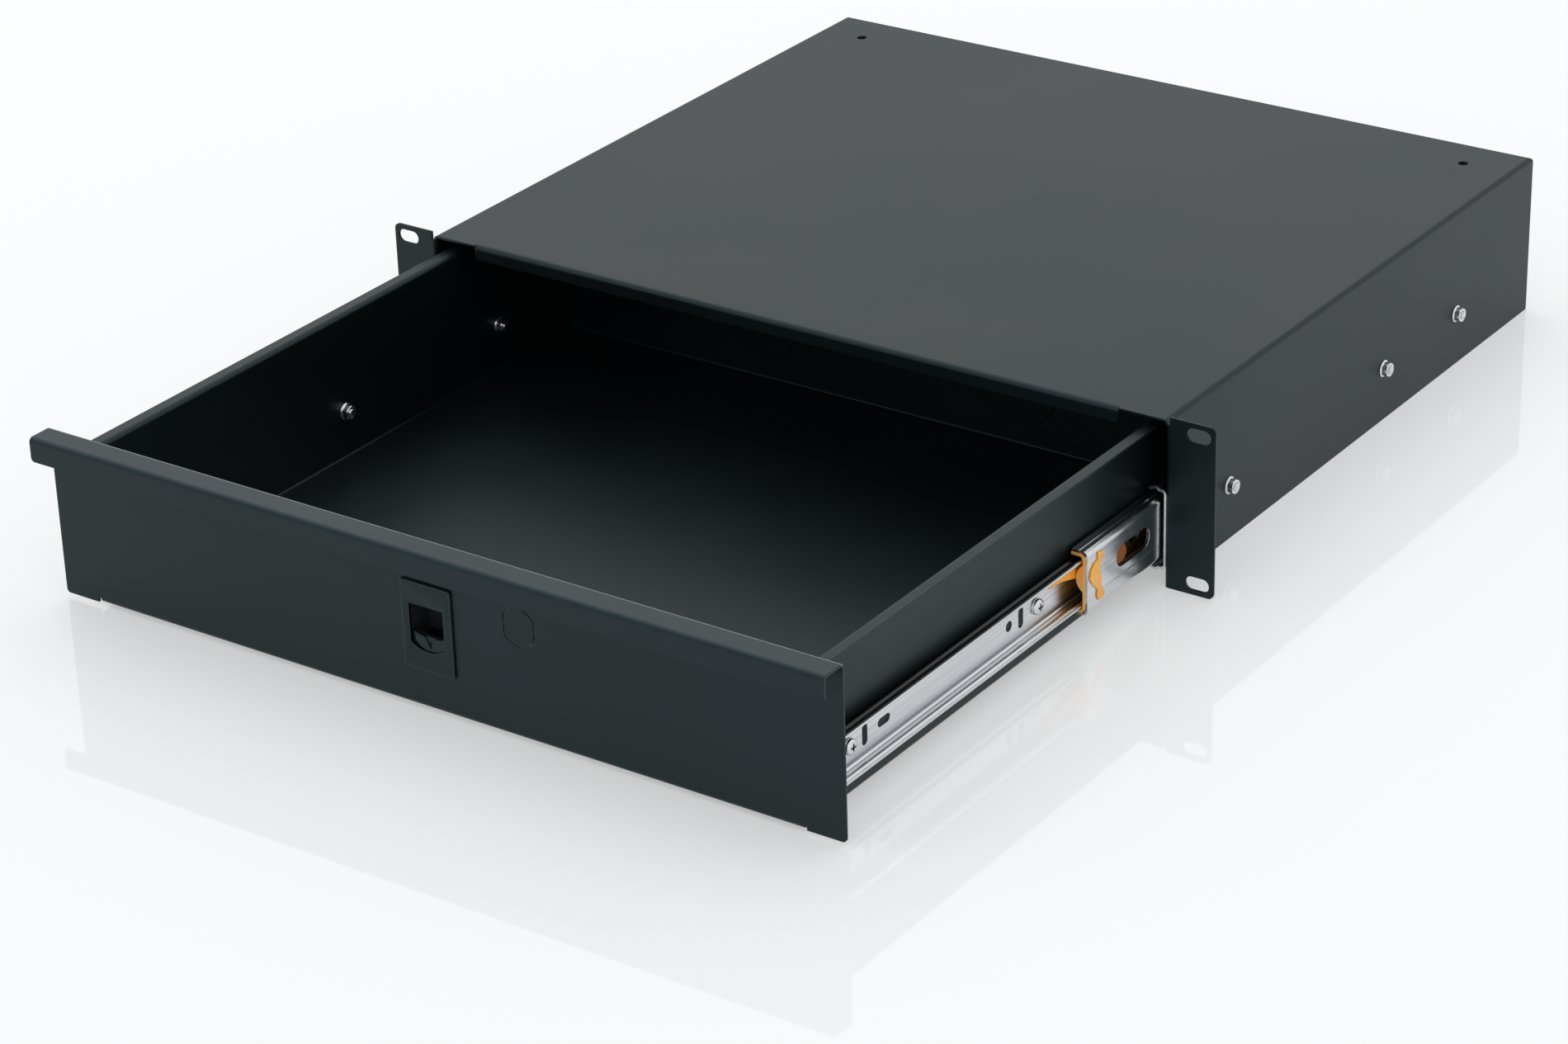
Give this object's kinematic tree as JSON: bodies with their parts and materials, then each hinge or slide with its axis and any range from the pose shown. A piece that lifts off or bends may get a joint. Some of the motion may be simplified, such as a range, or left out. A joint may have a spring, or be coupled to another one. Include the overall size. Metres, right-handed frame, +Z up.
{
  "type": "rack drawer",
  "caption": "Black sheet-steel rack drawer that slides out of its case on ball-bearing telescopic slides, with rack ears, a folded pull lip and a finger latch.",
  "frame": {"origin": "centre of the four ear slots, on the front face of the rack ears", "axes": "+X to the right, +Y from the front to the back, +Z up"},
  "size_m": [0.4826, 0.6716, 0.0884],
  "materials": {
    "black_powder_coat": "fine satin black powder coat on folded steel sheet",
    "zinc_steel": "bright zinc plate on rolled steel",
    "cage_steel": "plain steel strip",
    "ball_steel": "polished bearing balls",
    "screw_steel": "nickel plated machine screws",
    "nut_steel": "zinc plated flange nuts",
    "spring_steel": "drawn spring wire",
    "clip_plastic": "amber moulded plastic",
    "lever_plastic": "amber moulded plastic",
    "latch_plastic": "glossy black moulded plastic",
    "buffer_rubber": "black rubber"
  },
  "bodies": {
    "case": {"case_shell": "black_powder_coat", "rear_panel": "black_powder_coat", "slide_outer_left": "zinc_steel", "slide_outer_right": "zinc_steel", "outer_screws_left": "screw_steel", "outer_screws_right": "screw_steel", "outer_nuts_left": "nut_steel", "outer_nuts_right": "nut_steel", "rear_buffer_left": "buffer_rubber", "rear_buffer_right": "buffer_rubber"},
    "drawer": {"drawer_pan": "black_powder_coat", "drawer_front": "black_powder_coat", "latch_bezel": "latch_plastic", "latch_housing": "latch_plastic", "latch_spring": "spring_steel", "slide_inner_left": "zinc_steel", "slide_inner_right": "zinc_steel", "inner_screws_left": "screw_steel", "inner_screws_right": "screw_steel", "inner_nuts_left": "nut_steel", "inner_nuts_right": "nut_steel", "lever_rivet_left": "zinc_steel", "lever_rivet_right": "zinc_steel"},
    "latch": {"latch_slider": "latch_plastic"},
    "middle_left": {"slide_middle_left": "zinc_steel", "front_clip_left": "clip_plastic"},
    "outer_race_left": {"outer_cage_left": "cage_steel", "outer_balls_left": "ball_steel"},
    "inner_race_left": {"inner_cage_left": "clip_plastic", "inner_balls_left": "ball_steel"},
    "lever_left": {"release_lever_left": "lever_plastic"},
    "middle_right": {"slide_middle_right": "zinc_steel", "front_clip_right": "clip_plastic"},
    "outer_race_right": {"outer_cage_right": "cage_steel", "outer_balls_right": "ball_steel"},
    "inner_race_right": {"inner_cage_right": "clip_plastic", "inner_balls_right": "ball_steel"},
    "lever_right": {"release_lever_right": "lever_plastic"}
  },
  "joints": [
    {"name": "stage_one_left", "type": "slide", "parent": "case", "child": "middle_left", "axis": [0, -1, 0], "range_m": [-0.0675, 0.0745]},
    {"name": "stage_two", "type": "slide", "parent": "middle_left", "child": "drawer", "axis": [0, -1, 0], "range_m": [-0.209, 0]},
    {"name": "stage_one_right", "type": "slide", "parent": "case", "child": "middle_right", "axis": [0, -1, 0], "range_m": [-0.0675, 0.0745]},
    {"name": "outer_race_travel_left", "type": "slide", "parent": "case", "child": "outer_race_left", "axis": [0, -1, 0], "range_m": [-0.03375, 0.03725]},
    {"name": "outer_race_travel_right", "type": "slide", "parent": "case", "child": "outer_race_right", "axis": [0, -1, 0], "range_m": [-0.03375, 0.03725]},
    {"name": "inner_race_travel_left", "type": "slide", "parent": "middle_left", "child": "inner_race_left", "axis": [0, -1, 0], "range_m": [-0.1045, 0]},
    {"name": "inner_race_travel_right", "type": "slide", "parent": "middle_right", "child": "inner_race_right", "axis": [0, -1, 0], "range_m": [-0.1045, 0]},
    {"name": "latch_travel", "type": "slide", "parent": "drawer", "child": "latch", "axis": [0, 0, -1], "range_m": [0, 0.006], "stiffness_N_per_m": 250, "springref_m": -0.004, "deforming": ["latch_spring"]},
    {"name": "lever_press_left", "type": "hinge", "parent": "drawer", "child": "lever_left", "pos_m": [-0.206, -0.0755, -0.0088], "axis": [1, 0, 0], "range_deg": [0, 6.3], "stiffness_Nm_per_rad": 0.05, "springref_deg": -5.73},
    {"name": "lever_press_right", "type": "hinge", "parent": "drawer", "child": "lever_right", "pos_m": [0.206, -0.0755, -0.0088], "axis": [1, 0, 0], "range_deg": [0, 6.3], "stiffness_Nm_per_rad": 0.05, "springref_deg": -5.73}
  ],
  "couplings": [
    {"joint": "stage_one_right", "follows": "stage_one_left", "ratio": 1},
    {"joint": "outer_race_travel_left", "follows": "stage_one_left", "ratio": 0.5},
    {"joint": "outer_race_travel_right", "follows": "stage_one_left", "ratio": 0.5},
    {"joint": "inner_race_travel_left", "follows": "stage_two", "ratio": 0.5},
    {"joint": "inner_race_travel_right", "follows": "stage_two", "ratio": 0.5}
  ]
}
